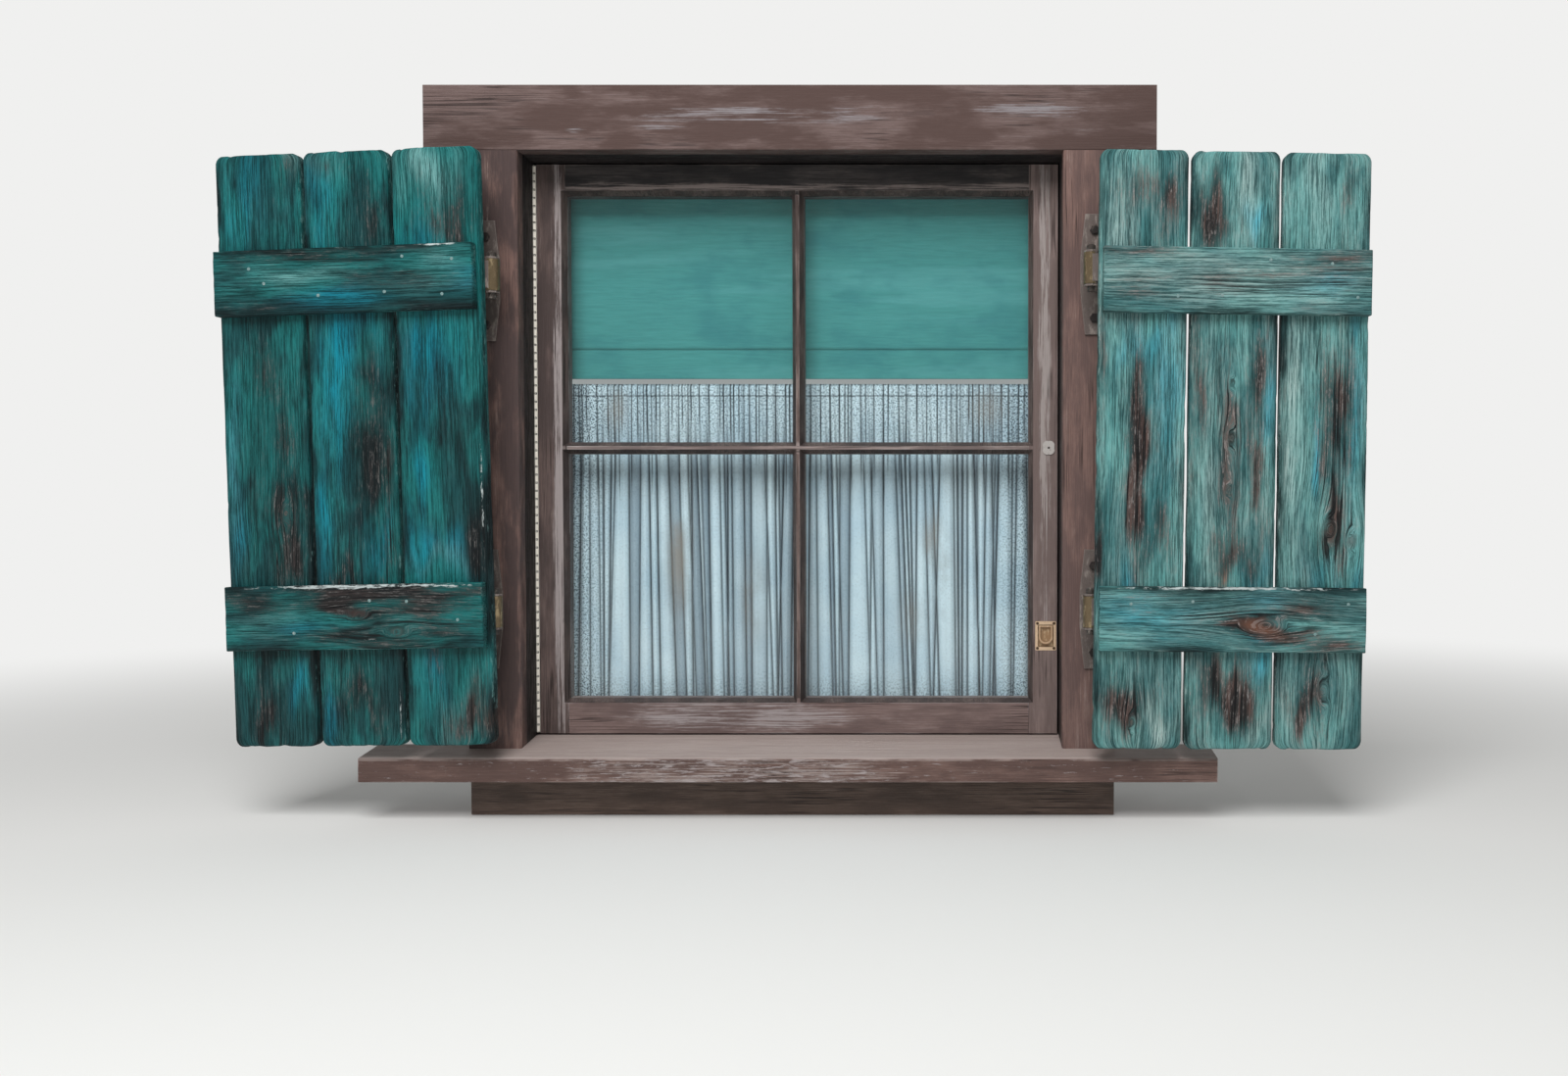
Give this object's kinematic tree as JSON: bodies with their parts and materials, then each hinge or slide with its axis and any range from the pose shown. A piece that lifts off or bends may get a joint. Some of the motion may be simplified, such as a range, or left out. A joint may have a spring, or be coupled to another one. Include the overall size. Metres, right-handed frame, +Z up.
{
  "type": "casement window with shutters",
  "caption": "Wooden casement window with casings, sloped sill and apron, a glazed outward-opening sash, cafe curtain, roller shade and two hinged plank shutters.",
  "frame": {"origin": "middle of the apron's back face, in the wall plane", "axes": "+X right along the wall as seen from outside, +Y into the wall, +Z up"},
  "size_m": [1.6966, 0.2875, 1.107],
  "materials": {
    "frame_wood": "weathered paint",
    "jamb_wood": "weathered paint",
    "sill_wood": "flaking paint",
    "apron_wood": "weathered paint",
    "sash_wood": "worn paint",
    "left_shutter_wood": "worn paint",
    "right_shutter_wood": "worn paint",
    "hinge_iron": "painted over",
    "hinge_steel": "worn paint",
    "curtain_metal": "satin",
    "curtain_cloth": "matt",
    "shade_cloth": "matt",
    "plain_wood": "bare",
    "glass": "clear",
    "putty": "painted",
    "pull_brass": "worn",
    "plug": "worn"
  },
  "bodies": {
    "frame": {"sill": "sill_wood", "apron": "apron_wood", "head_casing": "frame_wood", "left_casing": "frame_wood", "right_casing": "frame_wood", "head_jamb": "jamb_wood", "left_jamb": "jamb_wood", "right_jamb": "jamb_wood", "head_stop": "jamb_wood", "left_stop": "jamb_wood", "right_stop": "jamb_wood", "left_lower_bracket": "hinge_iron", "left_upper_bracket": "hinge_iron", "right_lower_bracket": "hinge_iron", "right_upper_bracket": "hinge_iron", "shutter_hinge_pins": "hinge_iron", "jamb_hinge_leaf": "hinge_steel", "sash_hinge_pin": "hinge_steel", "curtain_rod": "curtain_metal", "rod_sockets": "curtain_metal", "cafe_curtain": "curtain_cloth", "shade_brackets": "curtain_metal"},
    "shade_roller": {"shade_roller": "plain_wood", "shade_wound_cloth": "shade_cloth"},
    "shade_bar": {"shade_cloth": "shade_cloth", "shade_hem": "shade_cloth", "shade_slat": "plain_wood"},
    "sash": {"left_stile": "sash_wood", "right_stile": "sash_wood", "top_rail": "sash_wood", "bottom_rail": "sash_wood", "vertical_muntin": "sash_wood", "horizontal_muntin": "sash_wood", "lower_left_pane": "glass", "lower_right_pane": "glass", "upper_left_pane": "glass", "upper_right_pane": "glass", "lower_left_putty": "putty", "lower_right_putty": "putty", "upper_left_putty": "putty", "upper_right_putty": "putty", "sash_hinge_leaf": "hinge_steel", "pull_plate": "pull_brass", "stile_plug": "plug"},
    "pull_ring": {"pull_ring": "pull_brass"},
    "left_shutter": {"left_board_1": "left_shutter_wood", "left_board_2": "left_shutter_wood", "left_board_3": "left_shutter_wood", "left_lower_batten": "left_shutter_wood", "left_upper_batten": "left_shutter_wood", "left_lower_strap": "hinge_iron", "left_upper_strap": "hinge_iron"},
    "right_shutter": {"right_board_1": "right_shutter_wood", "right_board_2": "right_shutter_wood", "right_board_3": "right_shutter_wood", "right_lower_batten": "right_shutter_wood", "right_upper_batten": "right_shutter_wood", "right_lower_strap": "hinge_iron", "right_upper_strap": "hinge_iron"}
  },
  "joints": [
    {"name": "left_shutter_swing", "type": "hinge", "parent": "frame", "child": "left_shutter", "pos_m": [-0.433, -0.079, 0.2855], "axis": [0, 0, 1], "range_deg": [0, 184.6]},
    {"name": "right_shutter_swing", "type": "hinge", "parent": "frame", "child": "right_shutter", "pos_m": [0.4495, -0.079, 0.2855], "axis": [0, 0, -1], "range_deg": [0, 182]},
    {"name": "sash_swing", "type": "hinge", "parent": "frame", "child": "sash", "pos_m": [-0.4094, 0.0487, 0.08492], "axis": [0, 0, 1], "range_deg": [-90, 0]},
    {"name": "pull_ring_swing", "type": "hinge", "parent": "sash", "child": "pull_ring", "pos_m": [0.3914, 0.0528, 0.2526], "axis": [-1, 0, 0], "range_deg": [0, 90]},
    {"name": "shade_travel", "type": "slide", "parent": "frame", "child": "shade_bar", "axis": [0, 0, 1], "range_m": [0, 0.232], "deforming": ["shade_cloth"]},
    {"name": "shade_roller_turn", "type": "hinge", "parent": "frame", "child": "shade_roller", "pos_m": [0, 0.128, 0.9555], "axis": [1, 0, 0], "range_deg": [-807, 0]}
  ],
  "couplings": [
    {"joint": "shade_roller_turn", "follows": "shade_travel", "rad_per_m": -60.606}
  ]
}
